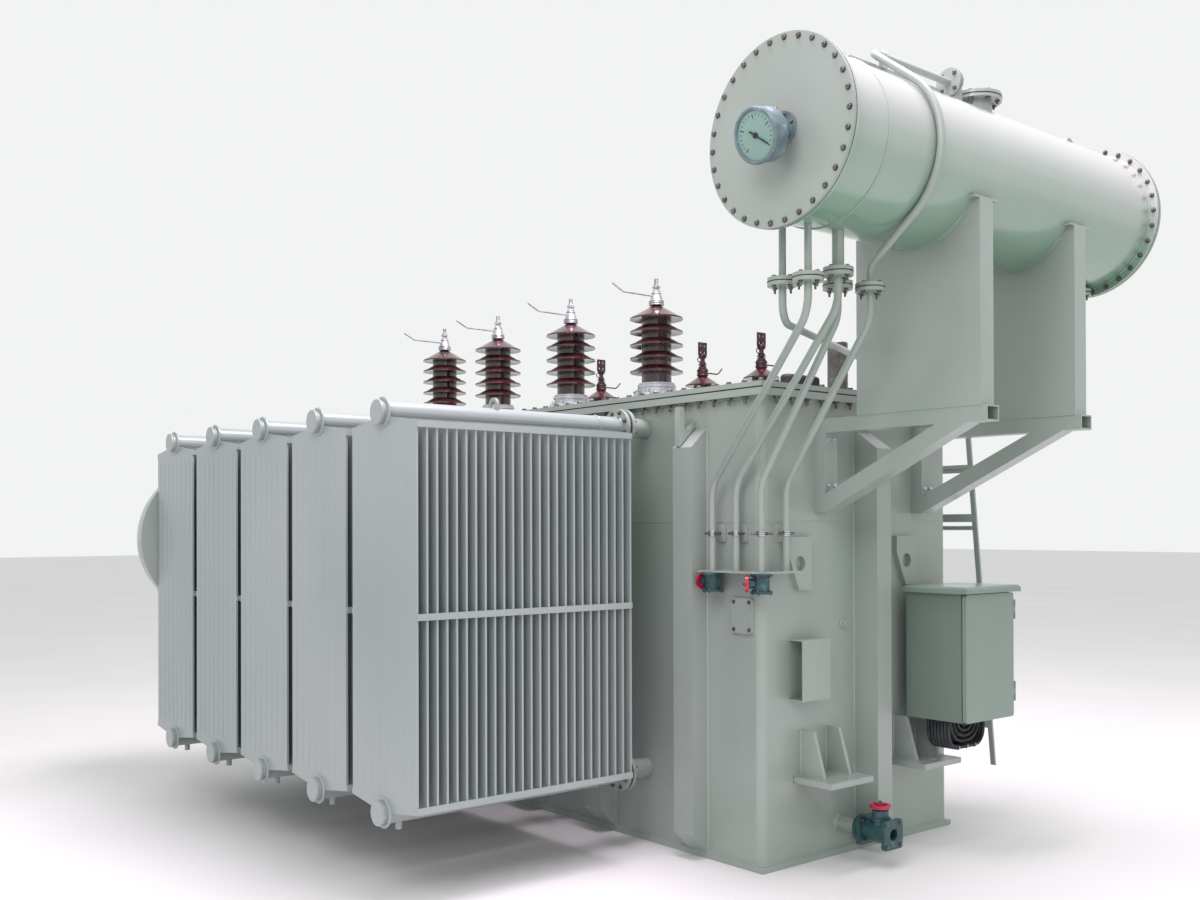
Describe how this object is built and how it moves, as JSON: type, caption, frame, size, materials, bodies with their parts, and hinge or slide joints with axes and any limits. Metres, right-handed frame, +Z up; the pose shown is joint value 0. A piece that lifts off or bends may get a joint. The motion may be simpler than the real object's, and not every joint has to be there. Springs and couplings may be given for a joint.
{
  "type": "oil filled power transformer",
  "caption": "Oil filled power transformer: ribbed tank with bolted cover, panel radiators, porcelain bushings, end mounted conservator and a marshalling box.",
  "frame": {"origin": "middle of the base plate's underside", "axes": "+X along the tank towards the conservator, -Y towards the radiators, +Z up"},
  "size_m": [4.819, 3.175, 3.374],
  "materials": {
    "tank_paint": "gloss enamel, pale grey green",
    "box_paint": "gloss enamel, grey green",
    "porcelain": "dark brown glaze",
    "red_porcelain": "red brown glaze",
    "gasket": "black rubber",
    "handwheel_red": "crimson enamel",
    "valve_teal": "dark teal enamel on a casting",
    "zinc": "zinc plated casting",
    "copper": "tarnished copper",
    "gauge": "grey blue enamel"
  },
  "bodies": {
    "transformer": {"base_plate": "tank_paint", "blank_plate": "tank_paint", "box_body": "box_paint", "box_cables": "gasket", "box_roof": "box_paint", "bracket_far": "tank_paint", "bracket_near": "tank_paint", "bushing_flanges": "tank_paint", "conservator_far_cover": "tank_paint", "conservator_near_cover": "tank_paint", "conservator_shell": "tank_paint", "cover": "tank_paint", "cover_capsule": "gasket", "cover_gasket": "gasket", "drain_valve": "valve_teal", "drop_flanges": "tank_paint", "drum_fittings": "tank_paint", "fan_cowl": "tank_paint", "hv_bushing_1": "porcelain", "hv_bushing_2": "porcelain", "hv_bushing_3": "porcelain", "hv_bushing_4": "porcelain", "hv_terminals": "zinc", "jacking_pads": "tank_paint", "ladder": "tank_paint", "lifting_lugs": "tank_paint", "lv_bushings": "red_porcelain", "lv_terminals": "copper", "oil_gauge": "gauge", "oil_pipes": "tank_paint", "pipe_ledge": "tank_paint", "pipe_valves": "valve_teal", "pulling_plates": "tank_paint", "radiator_1": "tank_paint", "radiator_2": "tank_paint", "radiator_3": "tank_paint", "radiator_4": "tank_paint", "radiator_5": "tank_paint", "radiator_valves": "tank_paint", "relay_pipe": "tank_paint", "saddle_far": "tank_paint", "saddle_near": "tank_paint", "sheet_hood": "tank_paint", "tank_body": "tank_paint", "tank_rim": "tank_paint", "vent_pipe": "tank_paint", "wall_stiffeners": "tank_paint"},
    "door": {"box_door": "box_paint"},
    "pipe_wheel_1": {"pipe_handwheel_1": "handwheel_red"},
    "pipe_wheel_2": {"pipe_handwheel_2": "handwheel_red"},
    "drain_wheel": {"drain_handwheel": "handwheel_red"}
  },
  "joints": [
    {"name": "door_hinge", "type": "hinge", "parent": "transformer", "child": "door", "pos_m": [2.241, 0.634, 0.87], "axis": [0, 0, 1], "range_deg": [0, 110]},
    {"name": "pipe_wheel_1_turn", "type": "hinge", "parent": "transformer", "child": "pipe_wheel_1", "pos_m": [1.628, -0.718, 1.223], "axis": [-1, 0, 0], "continuous": true},
    {"name": "pipe_wheel_2_turn", "type": "hinge", "parent": "transformer", "child": "pipe_wheel_2", "pos_m": [1.902, -0.705, 1.223], "axis": [-0.7071, -0.7071, 0], "continuous": true},
    {"name": "drain_wheel_turn", "type": "hinge", "parent": "transformer", "child": "drain_wheel", "pos_m": [2.09, -0.165, 0.245], "axis": [0, 0, 1], "continuous": true}
  ]
}
